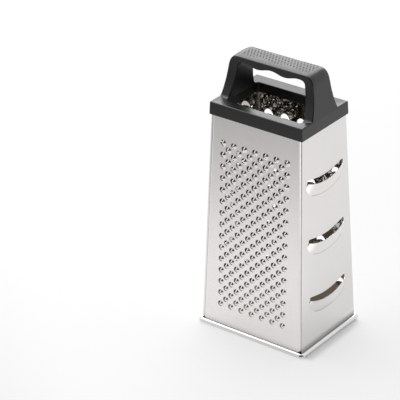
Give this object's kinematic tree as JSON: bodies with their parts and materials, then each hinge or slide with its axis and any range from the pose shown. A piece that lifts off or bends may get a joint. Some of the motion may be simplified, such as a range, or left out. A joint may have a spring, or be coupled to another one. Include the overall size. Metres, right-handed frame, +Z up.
{
  "type": "box grater",
  "caption": "Four-sided tapering steel box grater with shredding, fine and slicing sides, a rolled base rim and a black moulded top with a bridge handle.",
  "frame": {"origin": "on the floor under the middle of the grater", "axes": "+Z up along the body to the handle, +X to the slicing side along the handle's bar, -Y to the medium shredding side"},
  "size_m": [0.1086, 0.0854, 0.2416],
  "materials": {
    "steel": "satin outside, polished inside",
    "black_plastic": "satin"
  },
  "bodies": {
    "root": {"front_panel": "steel", "right_panel": "steel", "back_panel": "steel", "left_panel": "steel", "base_rim": "steel", "top_handle": "black_plastic"}
  },
  "joints": []
}
